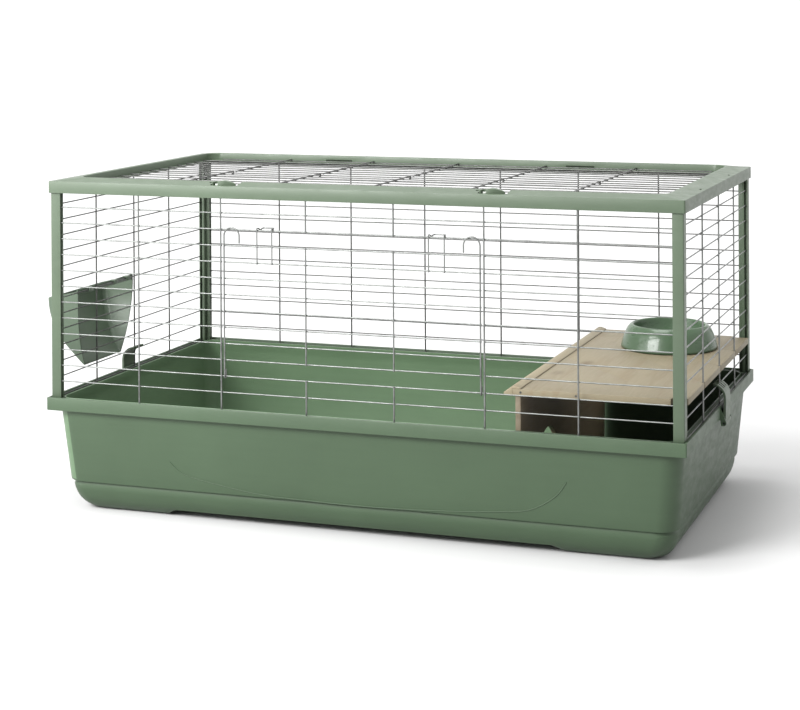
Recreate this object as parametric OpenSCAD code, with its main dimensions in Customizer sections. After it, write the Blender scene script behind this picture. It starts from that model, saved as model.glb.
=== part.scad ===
// Wire rabbit cage: a moulded tray, four corner posts, wire panels, a roof frame with a
// wire roof door, a drop-down front door, a hay rack, a wooden shelf and a feeding bowl.
// The origin is on the floor under the middle of the cage. +X is the right-hand end,
// -Y is the front with the door, +Z is up.

/* [Tray] */
// Outside length of the tray rim
rim_l = 1020; // [1000:5:1040]
// Outside depth of the tray rim
rim_w = 575; // [565:5:585]
// Height of the rim above the floor
rim_z = 181; // [176:1:188]
// Thickness of the moulded walls
tray_wall = 3; // [2.5:0.1:3.5]
// Height of the raised belly between the feet
belly_lift = 10.5; // [8:0.5:14]

/* [Wire panels] */
// Distance between the horizontal wires
wire_pitch = 25; // [24.8:0.1:25]
// Distance between the upright wires of the front and back
bay_l = 140.6; // [139:0.2:141]
// Distance between the upright wires of the ends
bay_w = 133.4; // [131:0.2:134]
// Radius of the horizontal wires
wire_r = 1.0; // [0.9:0.05:1.1]
// Radius of the upright wires
upright_r = 1.3; // [1.2:0.05:1.4]

/* [Roof] */
// Height of the roof frame's top edge above the rim
frame_h = 341; // [340:0.5:342]
// Height of the roof frame's outer skirt
skirt_h = 18.7; // [16:0.5:20]
// Width of the roof frame's moulded band
band_w = 34; // [32:1:36]
// Height of the wire roof above the rim
roof_h = 334; // [333.5:0.1:334.5]

/* [Front door] */
// Half the distance between the door's side wires
door_half = 205.2; // [203:0.2:205.6]
// Radius of the door's side wires
door_r = 1.2; // [1.1:0.05:1.3]
// Clearance of a wire eye around the wire it turns on
eye_gap = 0.4; // [0.35:0.05:0.5]

/* [Shelf and bowl] */
// Height of the shelf's top above the rim
shelf_h = 57; // [56.5:0.5:57.5]
// Thickness of the shelf board
board_t = 9; // [8.5:0.5:9]
// Left edge of the shelf board
board_x0 = 250; // [230:1:270]
// Radius of the bowl's foot
bowl_r = 78; // [70:1:80]
// Height of the bowl
bowl_h = 38; // [36:1:44]

/* [Hidden] */
$fn = 32;

plastic = [0.50, 0.60, 0.48];
plastic_light = [0.60, 0.69, 0.57];
zinc = [0.66, 0.67, 0.68];
pine = [0.82, 0.73, 0.56];

half_l = rim_l / 2;
half_w = rim_w / 2;
weld = 0.01;
step_z = 46.5;
foot_in = 56;
lip_w = 4;
ledge_in = 15;
ledge_z = rim_z - 6;

frame_z = rim_z + frame_h;
frame_l = half_l - 1.5;
frame_w = half_w - 6;
band_rise = 4.5;
skirt_t = 2.5;
band_t = 2.5;

post_x = frame_l - 3;
post_y = frame_w - 3;
post_l = 16.5;
post_w = 18;
post_leg = 10;
post_clear = 22.5;

front_y = post_y - 3.6;
end_x = post_x - 3.6;
top_wire = rim_z + 299.75;
end_wire = top_wire + 3.05;
last_wire = rim_z - 3;

opening_top = 1;
opening_bottom = 10;
eye_r = wire_r + eye_gap + door_r;
hinge_z = top_wire - wire_pitch * opening_bottom;
door_y = front_y + eye_r;
catch_x = 137.9;
catch_half = 12.3;
catch_root = top_wire - 2 * wire_pitch + wire_r + 1;

roof_z = rim_z + roof_h;
roof_x = frame_l - band_w - 1;
roof_y = frame_w - band_w - 1.5;
roof_rows = 7;
roof_step = roof_y / roof_rows;
roof_cross = 317 / 2;
roof_side = 3.2;

latch_xs = [-222, 209];
latch_y = frame_w - 16.5;
latch_back = frame_w - 23.5;
pocket_z = frame_z - 4.5;
latch_pin_r = 2;
hub_h = 3.4;

clip_x = half_l + 5;
clip_z = rim_z - 26;
clip_y0 = -20;
clip_y1 = 20;
clip_pin_r = 2;

shelf_z = rim_z + shelf_h;
shelf_half = 266;
floor_z = belly_lift + tray_wall;
rack_x = post_x + 0.6;
rack_out = 58;
shift_x = (rack_x + rack_out - clip_x - 4) / 2;

// Moves the cage sideways so that the origin is under the middle of its outline
module place() {
    translate([shift_x, 0, 0]) children();
}

// Corner-rounded rectangle at height z, as a ring of points that runs anticlockwise
function ring(x0, x1, y0, y1, r, z, n = 8) = [
    for (q = [0:3]) for (i = [0:n])
        let (a = 90 * q + 90 * i / n,
             cx = (q == 0 || q == 3) ? x1 - r : x0 + r,
             cy = (q < 2) ? y1 - r : y0 + r)
        [cx + r * cos(a), cy + r * sin(a), z]
];

function flat(list) = [for (group = list) for (item = group) item];

// Skin through a stack of rings; a loop joins the last ring to the first, else both are capped
module skin(rings, loop = false) {
    n = len(rings[0]);
    m = len(rings);
    spans = loop ? m : m - 1;
    sides = [for (i = [0:spans - 1]) for (j = [0:n - 1])
        let (a = i * n + j, b = i * n + (j + 1) % n,
             c = ((i + 1) % m) * n + (j + 1) % n, d = ((i + 1) % m) * n + j)
        [[c, b, a], [d, c, a]]];
    caps = loop ? [] : [[for (j = [0:n - 1]) j], [for (j = [n - 1:-1:0]) (m - 1) * n + j]];
    polyhedron(points = flat(rings), faces = concat(flat(sides), caps), convexity = 6);
}

// Ring of the tray or frame: inset from the outer rectangle, height, corner radius
function tray_ring(s) =
    ring(s[0] - half_l, half_l - s[0], s[0] - half_w, half_w - s[0], s[2], s[1]);
function frame_ring(s) =
    ring(s[0] - frame_l, frame_l - s[0], s[0] - frame_w, frame_w - s[0], s[2], s[1]);

// Rounded lower edge of the tray as a quarter ellipse from the foot up to the step
function belly(first_in, first_z, wide, tall) = [
    for (a = [90:-15:0]) [first_in - wide * cos(a), first_z + tall * (1 - sin(a)), 30]
];

tray_outer = concat(
    belly(foot_in, 0, foot_in - 23.5, step_z),
    [[20.5, step_z + 2, 30], [9.5, rim_z - 20, 30], [9.2, rim_z - 9, 28],
     [skirt_t, rim_z - 9, 1], [skirt_t, rim_z - 20, 1], [0, rim_z - 20, 2.5], [0, rim_z - 1, 2.5],
     [1, rim_z, 2], [lip_w - 0.5, rim_z, 1]]);
tray_inner = [
    [lip_w, rim_z - 0.5, 1], [lip_w, ledge_z, 1], [ledge_in, ledge_z, 20], [ledge_in, rim_z - 2, 20],
    [ledge_in + 2, rim_z - 2, 20], [ledge_in + 2, rim_z - 9, 20], [14, rim_z - 26, 26],
    [20.5 + tray_wall, step_z + 3, 27]];
tray_floor = belly(foot_in + 1, tray_wall, foot_in - 25.5 - tray_wall, step_z - tray_wall);
tray_rings = concat(tray_outer, tray_inner, [for (i = [len(tray_floor) - 1:-1:0]) tray_floor[i]]);

// Trapezoid across the middle of the tray floor; grow thickens it upwards
module belly_channel(grow) {
    half = 327;
    slope = 14;
    top = belly_lift + grow;
    rotate([90, 0, 0]) linear_extrude(height = rim_w, center = true)
        polygon([[-half - grow, -1], [half + grow, -1],
                 [half - slope + grow, top], [slope - half - grow, top]]);
}

module base_tray() {
    color(plastic) place() {
        difference() {
            skin([for (s = tray_rings) tray_ring(s)]);
            belly_channel(0);
        }
        intersection() {
            difference() {
                belly_channel(tray_wall);
                belly_channel(0);
            }
            skin([for (s = tray_outer) tray_ring(s)]);
        }
        clip_lugs(1);
        clip_lugs(-1);
    }
}

// Pair of ears under the rim skirt that carry a tray clip's pin
module clip_lugs(side) {
    for (y = [clip_y0 - 5, clip_y1 + 1])
        translate([0, y + 4, 0]) rotate([90, 0, 0]) linear_extrude(height = 4) difference() {
            polygon([[side * (half_l - 1), rim_z - 6], [side * (half_l + 1), rim_z - 6],
                     [side * (half_l + 9), clip_z], [side * (half_l + 9), clip_z - 4],
                     [side * (half_l + 1), clip_z - 4], [side * (half_l - 1), rim_z - 19]]);
            translate([side * clip_x, clip_z]) circle(r = clip_pin_r);
        }
}

// Angled corner post with a groove in each leg for the wire ends
module post(sx, sy) {
    color(plastic_light) place() translate([sx * post_x, sy * post_y, 0]) scale([-sx, -sy, 1])
        post_body();
}

// Post in its own corner: outer corner at the origin, body towards +X and +Y
module post_body() {
    translate([0, 0, rim_z - 2]) linear_extrude(height = frame_h - 0.5)
        difference() {
            union() {
                translate([1.5, 1.5]) circle(r = 1.5);
                translate([1.5, 0]) square([post_l - 1.5, post_leg]);
                translate([0, 1.5]) square([post_leg, post_w - 1.5]);
            }
            translate([post_l - 4.5, 2]) square([6, 3.6]);
            translate([2, post_w - 6]) square([3.6, 7]);
        }
    translate([1, 1, ledge_z]) cube([5, 5, 4.5]);
}

module post_front_left() { post(-1, -1); }
module post_front_right() { post(1, -1); }
module post_back_left() { post(-1, 1); }
module post_back_right() { post(1, 1); }

frame_rings = [
    [0, frame_z - skirt_h, 2.5], [0, frame_z - 0.8, 2.5], [0.8, frame_z, 2.2], [6, frame_z, 3],
    [7, frame_z + 0.3, 6], [band_w - 4, frame_z + band_rise, 22], [band_w - 1, frame_z + band_rise, 24],
    [band_w, frame_z + band_rise - 1, 25], [band_w, roof_z - wire_r, 25], [band_w + 4, roof_z - wire_r, 26],
    [band_w + 4, roof_z - 3.6, 26], [band_w - band_t, roof_z - 3.6, 23],
    [band_w - band_t, frame_z + band_rise - 3, 22], [7, frame_z - 2.5, 4],
    [skirt_t, frame_z - 2.5, 1], [skirt_t, frame_z - skirt_h, 1]];

module top_frame() {
    color(plastic_light) place() {
        difference() {
            skin([for (s = frame_rings) frame_ring(s)], loop = true);
            for (x = latch_xs) latch_pocket(x);
            for (sx = [-1, 1], sy = [-1, 1])
                translate([sx * (frame_l - 8) - 1.5, sy * 120 - 5, frame_z - 6]) cube([3, 10, 12]);
            for (x = [-222, 222])
                translate([x - 25, frame_w - band_w - 1, roof_z + 1.5]) cube([50, 6, 2.5]);
        }
        for (x = latch_xs) latch_pad(x);
    }
}

// Recess in the front band that a roof latch turns in, with a round hole beside it
module latch_pocket(x) {
    translate([x - 8.8, 8 - frame_w, pocket_z]) cube([44.8, band_w + 4, 14]);
    translate([x - 13, -latch_back, pocket_z]) cylinder(r = 2.9, h = 14);
}

// Floor of the recess with the hole that the latch pin is pressed in
module latch_pad(x) {
    difference() {
        translate([x - 10, 9.5 - frame_w, pocket_z - 2.6]) cube([47.5, band_w - 10.5, 2.6]);
        translate([x, -latch_y, pocket_z - 4]) cylinder(r = latch_pin_r, h = 6);
    }
}

module wire_x(x0, x1, y, z, r = wire_r) {
    translate([x0, y, z]) rotate([0, 90, 0]) cylinder(r = r, h = x1 - x0, $fn = 24);
}

module wire_y(y0, y1, x, z, r = wire_r) {
    translate([x, y1, z]) rotate([90, 0, 0]) cylinder(r = r, h = y1 - y0, $fn = 24);
}

module wire_z(z0, z1, x, y, r = upright_r) {
    translate([x, y, z0]) cylinder(r = r, h = z1 - z0, $fn = 24);
}

function row_z(k) = k == 12 ? last_wire : top_wire - wire_pitch * k;
function end_z(k) = k == 12 ? last_wire + 0.5 : end_wire - wire_pitch * k;
function in_door(k) = k > opening_top && k < opening_bottom;
upright_y = front_y + wire_r + upright_r + weld;
upright_x = end_x + wire_r + upright_r + weld;
wire_half_l = post_x - 13;
wire_half_w = post_y - 13;
upright_top = frame_z - 4;

module front_panel() {
    color(zinc) place() {
        for (k = [-1:12]) {
            if (in_door(k)) {
                wire_x(-wire_half_l, -1.5 * bay_l + 1.3, -front_y, row_z(k));
                wire_x(1.5 * bay_l - 1.3, wire_half_l, -front_y, row_z(k));
            } else {
                wire_x(-wire_half_l, wire_half_l, -front_y, row_z(k));
            }
        }
        for (i = [-2.5:1:2.5]) {
            if (abs(i) < 1) {
                wire_z(row_z(opening_top) - 1.5, upright_top, i * bay_l, -upright_y);
                wire_z(last_wire - 1, hinge_z + 1.5, i * bay_l, -upright_y);
            } else {
                wire_z(last_wire - 1, upright_top, i * bay_l, -upright_y);
            }
        }
    }
}

module back_panel() {
    color(zinc) place() {
        for (k = [-1:12]) wire_x(-wire_half_l, wire_half_l, front_y, row_z(k));
        for (i = [-2.5:1:2.5]) wire_z(last_wire - 1, upright_top, i * bay_l, upright_y);
    }
}

module end_panel(side) {
    color(zinc) place() {
        for (k = [-1:12]) wire_y(-wire_half_w, wire_half_w, side * end_x, end_z(k));
        for (i = [-1:1]) wire_z(last_wire - 1, upright_top, side * upright_x, i * bay_w);
    }
}

module left_panel() { end_panel(-1); }
module right_panel() { end_panel(1); }

cross_gap = wire_r + upright_r + weld;

// Half the length of roof wire j: the outermost wire is shorter, clear of the frame's corners
function row_half(j) = j == roof_rows ? roof_x - 24 : roof_x;

module roof_grid() {
    color(zinc) place() {
        for (j = [0:roof_rows]) wire_x(-row_half(j), row_half(j), j * roof_step, roof_z);
        for (i = [-2:2])
            wire_y(2 * eye_r, roof_y + 0.6, i * roof_cross + roof_side, roof_z + cross_gap, upright_r);
    }
}

// Wire eye in the YZ plane: start and sweep are angles from +Y towards +Z
module eye(x, y, z, start, sweep, r_mid = eye_r, r = door_r) {
    translate([x, y, z]) rotate([90, 0, 90])
        rotate_extrude(angle = sweep, start = start, $fn = 48)
            translate([r_mid, 0]) circle(r = r, $fn = 24);
}

module roof_door() {
    cross_z = roof_z + eye_r;
    color(zinc) place() {
        for (j = [1:roof_rows])
            wire_x(-row_half(j), row_half(j), -j * roof_step, cross_z - wire_r - door_r - weld);
        for (i = [-2:2]) {
            wire_y(-roof_y - 0.6, 0, i * roof_cross, cross_z, door_r);
            eye(i * roof_cross, 0, roof_z, -170, 260);
        }
    }
}

// Turn latch: a low hub round the pin and a raised lever that narrows to its tip
module roof_latch(x) {
    color(plastic_light) place() translate([x, -latch_y, pocket_z + 0.35]) difference() {
        intersection() {
            linear_extrude(height = 12) {
                circle(r = 8);
                polygon([[0, -8], [14, -7], [31, -1.2], [31, 1.2], [14, 7], [0, 8]]);
            }
            rotate([90, 0, 0]) linear_extrude(height = 20, center = true)
                polygon([[-9, 0], [32, 0], [32, 6.6], [27, 8.6], [17, 11.4], [9, 11.6], [2, 9.8], [-9, 9]]);
        }
        translate([0, 0, -1]) cylinder(r = latch_pin_r + 0.05, h = 6);
        translate([0, 0, hub_h]) cylinder(r = 4.4, h = 12);
        translate([-4.4, -12, hub_h]) cube([8.8, 12, 12]);
    }
}

module roof_latch_left() { roof_latch(latch_xs[0]); }
module roof_latch_right() { roof_latch(latch_xs[1]); }

module latch_pins() {
    color(plastic) place() for (x = latch_xs) translate([x, -latch_y, pocket_z]) {
        translate([0, 0, -2.6]) cylinder(r = latch_pin_r, h = hub_h + 3.4);
        translate([0, 0, hub_h + 0.7]) cylinder(r = 3, h = 2.4);
    }
}

module clip_pins() {
    color(zinc) place() for (side = [-1, 1])
        wire_y(clip_y0 - 5, clip_y1 + 5, side * clip_x, clip_z, clip_pin_r);
}

// Side wire of the front door: rises from its hinge eye to a cane-shaped top
module door_side(side) {
    cane_r = 12.7;
    cane_z = row_z(opening_top) + 3 - cane_r;
    x = side * door_half;
    wire_z(hinge_z, cane_z, x, -door_y, door_r);
    translate([x - side * cane_r, -door_y, cane_z]) rotate([90, 0, 0])
        rotate_extrude(angle = 180, $fn = 64) translate([cane_r, 0]) circle(r = door_r, $fn = 24);
    wire_z(cane_z - 11, cane_z, x - side * 2 * cane_r, -door_y, door_r);
    eye(x, -front_y, hinge_z, 180, 180);
    wire_z(hinge_z, hinge_z + 10, x, -front_y + eye_r, door_r);
}

module front_door() {
    bar_y = door_y - door_r - wire_r - weld;
    color(zinc) place() {
        for (k = [2:9]) wire_x(-door_half - 1.2, door_half + 1.2, -bar_y, row_z(k));
        for (i = [-0.5, 0.5]) wire_z(row_z(9) - 1.5, row_z(2) + 1.5, i * bay_l, -door_y, door_r);
        door_side(-1);
        door_side(1);
        for (x = [-catch_x, catch_x], s = [-1, 1])
            wire_z(row_z(3) - 1.8, catch_root - 1.4, x + s * catch_half, -bar_y - 2 * wire_r - weld, wire_r);
    }
}

// Straight wire between two points, with a ball at its start that rounds the bend
module rod(a, b, r) {
    v = b - a;
    len = norm(v);
    translate(a) {
        sphere(r = r * 1.03, $fn = 24);
        rotate([0, acos(v[2] / len), atan2(v[1], v[0])]) cylinder(r = r, h = len, $fn = 24);
    }
}

// Spring catch: two legs that bend inwards over the opening's top wire, and a finger bar
module door_catch(x) {
    over = row_z(opening_top) + 2 * wire_r + 0.6;
    bar_half = catch_half - 3;
    color(zinc) place() translate([x, -door_y - 0.15, 0]) {
        for (s = [-1, 1]) {
            path = [[s * catch_half, 0, catch_root], [s * catch_half, 0, over + 0.2],
                    [s * (catch_half - 0.4), 2, over + 0.8], [s * (catch_half - 0.8), 5, over + 0.3],
                    [s * (catch_half - 1.6), 10, over - 2.6], [s * bar_half, 14, over - 0.5],
                    [s * (bar_half - 1), 18, over - 0.2]];
            for (i = [0:len(path) - 2]) rod(path[i], path[i + 1], wire_r);
        }
        rod([1 - bar_half, 18, over - 0.2], [bar_half - 1, 18, over - 0.2], wire_r);
        translate([bar_half - 1, 18, over - 0.2]) sphere(r = wire_r * 1.03, $fn = 24);
    }
}

module door_catch_left() { door_catch(-catch_x); }
module door_catch_right() { door_catch(catch_x); }

// Centre line of a tray clip from its pin up to the lip that drops behind the wire
clip_line = [[0, 0], [0.5, 12], [1.1, 26], [1.3, 36], [0.2, 44], [-3.2, 50.2],
    [-8, 54.6], [-12, 56.8], [-17.5, 57.2]];

function normal_at(p, i) =
    let (a = p[max(i - 1, 0)], b = p[min(i + 1, len(p) - 1)], d = (b - a) / norm(b - a)) [d[1], -d[0]];

// Clip on one end: a curved strap that ends in slotted fingers, hinged on its pin
module tray_clip(side) {
    n = len(clip_line);
    half = 1.5;
    outline = concat([for (i = [0:n - 1]) clip_line[i] + half * normal_at(clip_line, i)],
                     [for (i = [n - 1:-1:0]) clip_line[i] - half * normal_at(clip_line, i)]);
    lip = [[-17.5, 57.4], [-15.3, 57.4], [-15.4, 54.6], [-17.3, 54.6]];
    color(plastic_light) place() translate([side * clip_x, clip_y1, clip_z]) rotate([90, 0, 0])
        difference() {
            linear_extrude(height = clip_y1 - clip_y0) {
                polygon([for (p = outline) [side * p[0], p[1]]]);
                circle(r = 4);
                polygon([for (p = lip) [side * p[0], p[1]]]);
            }
            translate([0, 0, -1]) cylinder(r = clip_pin_r + 0.05, h = clip_y1 - clip_y0 + 2);
            for (slot = [[9.5, 3.2], [20, 4.6], [30.5, 3.2]])
                translate([side > 0 ? -20 : 1, 49, slot[0] - slot[1] / 2]) cube([19, 12, slot[1]]);
        }
}

module tray_clip_left() { tray_clip(-1); }
module tray_clip_right() { tray_clip(1); }

// Section of the hay rack at height h above the rim; wall shrinks it to the inside
function rack_ring(h, wall) =
    let (s = (150 - h) / 120, out = (rack_out - 1) * (1 - pow(max(140 - h, 0) / 111, 2)) + 1)
    ring(-rack_x - out + wall, -rack_x + (wall > 0 ? 6 : 0),
         -193 + 22 * pow(max(s, 0), 3) + wall, -1 - 54 * pow(max(s, 0), 2) - wall,
         min(8 - wall, out / 3), rim_z + h, 4);

module hay_rack() {
    wall = 2.4;
    color(plastic) place() {
        difference() {
            skin([for (h = [30, 34, 40, 48, 58, 70, 85, 100, 120, 140, 153]) rack_ring(h, 0)]);
            skin([for (h = [33, 37, 43, 50, 60, 72, 87, 102, 122, 142, 170]) rack_ring(h, wall)]);
            translate([-rack_x, -220, rim_z + 153]) rotate([0, -12.5, 0]) mirror([1, 0, 0])
                cube([90, 250, 30]);
        }
        translate([-rack_x - 2, -193, rim_z + 147]) cube([2, 192, 9]);
        for (y = [-160, -75, -30]) rack_lug(y);
    }
}

// Hook that hangs the rack on a horizontal wire of the end panel
module rack_lug(y) {
    hook_z = end_z(6) + wire_r + 0.5;
    translate([-rack_x - 2, y - 6, hook_z]) cube([rack_x - end_x + 5.4, 12, 2.2]);
    translate([-end_x + 1.5, y - 6, hook_z - 5]) cube([1.9, 12, 6]);
}

module shelf_board() {
    edge = post_x + 1;
    color(pine) place() difference() {
        translate([board_x0, -shelf_half, shelf_z - board_t])
            cube([edge - board_x0, 2 * shelf_half, board_t]);
        for (s = [-1, 1])
            translate([post_x - post_clear, s > 0 ? post_y - post_clear : -shelf_half - 1, shelf_z - 20])
                cube([40, shelf_half - post_y + post_clear + 1, 40]);
        translate([end_x - wire_r - 0.6, -shelf_half - 1, shelf_z - 20])
            cube([2 * wire_r + 1.2, 2 * shelf_half + 2, end_z(10) + wire_r + 0.6 - shelf_z + 20]);
        for (i = [-1:1])
            translate([end_x - wire_r - 0.6, i * bay_w - upright_r - 0.6, shelf_z - 20])
                cube([20, 2 * upright_r + 1.2, 40]);
        for (y = [-190, 0, 190]) screw_hole(y);
    }
}

module screw_hole(y) {
    translate([board_x0 + 7, y, shelf_z - board_t - 1]) cylinder(r = 1.5, h = board_t + 2);
    translate([board_x0 + 7, y, shelf_z - 1.5]) cylinder(r = 3, h = 3);
}

// Bevelled strip that lies along the shelf's left edge
module shelf_edge_strip() {
    color(pine) place() translate([0, shelf_half, 0]) rotate([90, 0, 0])
        linear_extrude(height = 2 * shelf_half) polygon([[board_x0 - 14, shelf_z - board_t], [board_x0 - 0.1, shelf_z - board_t],
                 [board_x0 - 0.1, shelf_z + 0.1], [board_x0 + 12, shelf_z + 0.1],
                 [board_x0 + 12, shelf_z + 1.5], [board_x0 + 4, shelf_z + 4], [board_x0 - 1, shelf_z + 4],
                 [board_x0 - 13, shelf_z - board_t + 4]]);
}

module shelf_side_panel() {
    arch_r = 70;
    arch_y = -112;
    top = shelf_z - board_t - 0.05;
    color(pine) place() translate([board_x0 + 3, 0, 0]) rotate([90, 0, 90]) linear_extrude(height = 8)
        difference() {
            polygon([[-238, floor_z + 0.4], [238, floor_z + 0.4], [252, 60], [262, rim_z - 14],
                     [262, top], [-262, top], [-262, rim_z - 14], [-252, 60]]);
            translate([arch_y, rim_z - 30 - arch_r]) circle(r = arch_r, $fn = 64);
            translate([arch_y - arch_r, -1]) square([2 * arch_r, rim_z - 29 - arch_r]);
            for (y = [-190, 0, 190]) translate([y - 1.5, top - 14]) square([3, 15]);
        }
}

module shelf_screws() {
    color(zinc) place() for (y = [-190, 0, 190]) translate([board_x0 + 7, y, 0]) {
        translate([0, 0, shelf_z - board_t - 12]) cylinder(r = 1.4, h = board_t + 10.6);
        translate([0, 0, shelf_z - 1.45]) cylinder(r = 2.9, h = 1.4);
    }
}

module bowl() {
    t = 2.5;
    color(plastic) place() translate([398, 136, shelf_z + 0.35]) rotate_extrude($fn = 96) polygon(concat(
        [[0, 0], [bowl_r, 0], [bowl_r - 1, bowl_h - 30], [bowl_r - 2.5, bowl_h - 20],
         [bowl_r - 5.5, bowl_h - 12], [bowl_r - 9.5, bowl_h - 6], [bowl_r - 14, bowl_h - 2],
         [bowl_r - 18, bowl_h], [bowl_r - 20, bowl_h - 0.8], [bowl_r - 20.7, bowl_h - 3]],
        [for (a = [0:15:90]) [bowl_r - 38 + 15 * cos(a), 7 + t + 15 - 15 * sin(a)]],
        [[0, 7 + t]]));
}

base_tray();
post_front_left();
post_front_right();
post_back_left();
post_back_right();
top_frame();
front_panel();
back_panel();
left_panel();
right_panel();
roof_grid();
latch_pins();
clip_pins();
roof_door();
roof_latch_left();
roof_latch_right();
front_door();
door_catch_left();
door_catch_right();
tray_clip_left();
tray_clip_right();
hay_rack();
shelf_board();
shelf_edge_strip();
shelf_side_panel();
shelf_screws();
bowl();
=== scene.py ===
import math
import bpy
import bmesh
from mathutils import Matrix, Vector


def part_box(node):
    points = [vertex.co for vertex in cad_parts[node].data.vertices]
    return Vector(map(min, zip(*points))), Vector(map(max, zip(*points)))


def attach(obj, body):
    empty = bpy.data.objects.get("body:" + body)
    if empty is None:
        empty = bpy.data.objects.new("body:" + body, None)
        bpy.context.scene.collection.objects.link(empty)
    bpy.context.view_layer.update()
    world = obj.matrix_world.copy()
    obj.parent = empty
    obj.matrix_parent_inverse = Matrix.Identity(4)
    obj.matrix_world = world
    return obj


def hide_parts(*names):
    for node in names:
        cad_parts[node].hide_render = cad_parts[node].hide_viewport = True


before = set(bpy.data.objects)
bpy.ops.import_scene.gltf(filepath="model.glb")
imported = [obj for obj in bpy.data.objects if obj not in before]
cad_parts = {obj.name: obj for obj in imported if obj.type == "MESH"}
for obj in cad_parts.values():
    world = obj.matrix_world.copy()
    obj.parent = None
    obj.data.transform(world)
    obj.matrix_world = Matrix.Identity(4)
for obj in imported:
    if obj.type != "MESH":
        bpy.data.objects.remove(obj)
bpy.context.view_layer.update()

# ---------------------------------------------------------------- sizes, in millimetres
MM = 0.001
tray_low, tray_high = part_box("base_tray")
CENTRE_X = (tray_low[0] + tray_high[0]) / 2
RIM = tray_high[2] / MM
HALF_L, HALF_W = 510.0, 287.5
FRAME_L, FRAME_W = 508.5, 281.5
FRAME_TOP = RIM + 341
ROOF = RIM + 334
PITCH = 25
TOP_WIRE = RIM + 299.75
END_WIRE = RIM + 302.8
LAST_WIRE = RIM - 3
LAST_ROW = 12
FRONT_Y, UP_Y = 274.9, 277.21
END_X, UP_X = 501.9, 504.21
THIN, THICK, DOOR_R = 1.0, 1.3, 1.2
WELD_GAP = 0.01
ROW_HALF_L, ROW_HALF_W = 492.5, 265.5
ROOF_HALF_L, ROOF_LAST_HALF_L, ROOF_HALF_W = 473.5, 449.5, 246
ROOF_BAY, ROOF_ROWS = 158.5, 7
BAY_L, BAY_W = 140.6, 133.4
EYE_R = 2.6
DOOR_Y = FRONT_Y + EYE_R
DOOR_X = 205.2
HINGE_Z = TOP_WIRE - 10 * PITCH
CATCH_X, CATCH_HALF = 137.9, 12.3
LATCH_XS = (-222, 209)
CLIP_Y = 20
CLIP_PIN_X, CLIP_PIN_Z = 515, RIM - 26
WALL_FOOT_Z, WALL_FOOT_INSET, WALL_LEAN = 48.6, 20.3, 10.8
WALL_RISE = RIM - 68.6
SHELF_START_X = 255
BOWL_AT = (398, 136, RIM + 57.35)


# ---------------------------------------------------------------- materials
def nodes_of(name):
    mat = bpy.data.materials.new(name)
    mat.use_nodes = True
    return mat, mat.node_tree, mat.node_tree.nodes["Principled BSDF"]


def coords(tree, stretch=(1, 1, 1)):
    """Object coordinates in metres, stretched along each axis."""
    tex = tree.nodes.new("ShaderNodeTexCoord")
    mapping = tree.nodes.new("ShaderNodeMapping")
    mapping.inputs["Scale"].default_value = stretch
    tree.links.new(tex.outputs["Object"], mapping.inputs["Vector"])
    return mapping.outputs["Vector"]


def noise(tree, vector, scale, detail=3.0, rough=0.5, distortion=0.0):
    node = tree.nodes.new("ShaderNodeTexNoise")
    node.inputs["Scale"].default_value = scale
    node.inputs["Detail"].default_value = detail
    node.inputs["Roughness"].default_value = rough
    node.inputs["Distortion"].default_value = distortion
    tree.links.new(vector, node.inputs["Vector"])
    return node.outputs["Fac"]


def ramp(tree, fac, stops):
    node = tree.nodes.new("ShaderNodeValToRGB")
    while len(node.color_ramp.elements) < len(stops):
        node.color_ramp.elements.new(0.5)
    for element, (at, colour) in zip(node.color_ramp.elements, stops):
        element.position = at
        element.color = (*colour, 1) if isinstance(colour, tuple) else (colour, colour, colour, 1)
    tree.links.new(fac, node.inputs["Fac"])
    return node.outputs["Color"]


def mix(tree, fac, a, b, blend="MIX"):
    node = tree.nodes.new("ShaderNodeMix")
    node.data_type = "RGBA"
    node.blend_type = blend
    for socket, value in ((node.inputs[0], fac), (node.inputs[6], a), (node.inputs[7], b)):
        if isinstance(value, (int, float)):
            socket.default_value = value
        elif isinstance(value, tuple):
            socket.default_value = (*value, 1)
        else:
            tree.links.new(value, socket)
    return node.outputs[2]


def bump(tree, shader, height, strength, distance):
    node = tree.nodes.new("ShaderNodeBump")
    node.inputs["Strength"].default_value = strength
    node.inputs["Distance"].default_value = distance
    tree.links.new(height, node.inputs["Height"])
    tree.links.new(node.outputs["Normal"], shader.inputs["Normal"])


def tint(colour, by):
    return tuple(c * by for c in colour)


def calc(tree, operation, a, b=0.0):
    node = tree.nodes.new("ShaderNodeMath")
    node.operation = operation
    for socket, value in zip(node.inputs, (a, b)):
        if isinstance(value, (int, float)):
            socket.default_value = value
        else:
            tree.links.new(value, socket)
    return node.outputs[0]


def map_range(tree, value, low, high, at_low, at_high):
    node = tree.nodes.new("ShaderNodeMapRange")
    for key, number in (("From Min", low), ("From Max", high), ("To Min", at_low), ("To Max", at_high)):
        node.inputs[key].default_value = number
    tree.links.new(value, node.inputs["Value"])
    return node.outputs["Result"]


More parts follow.
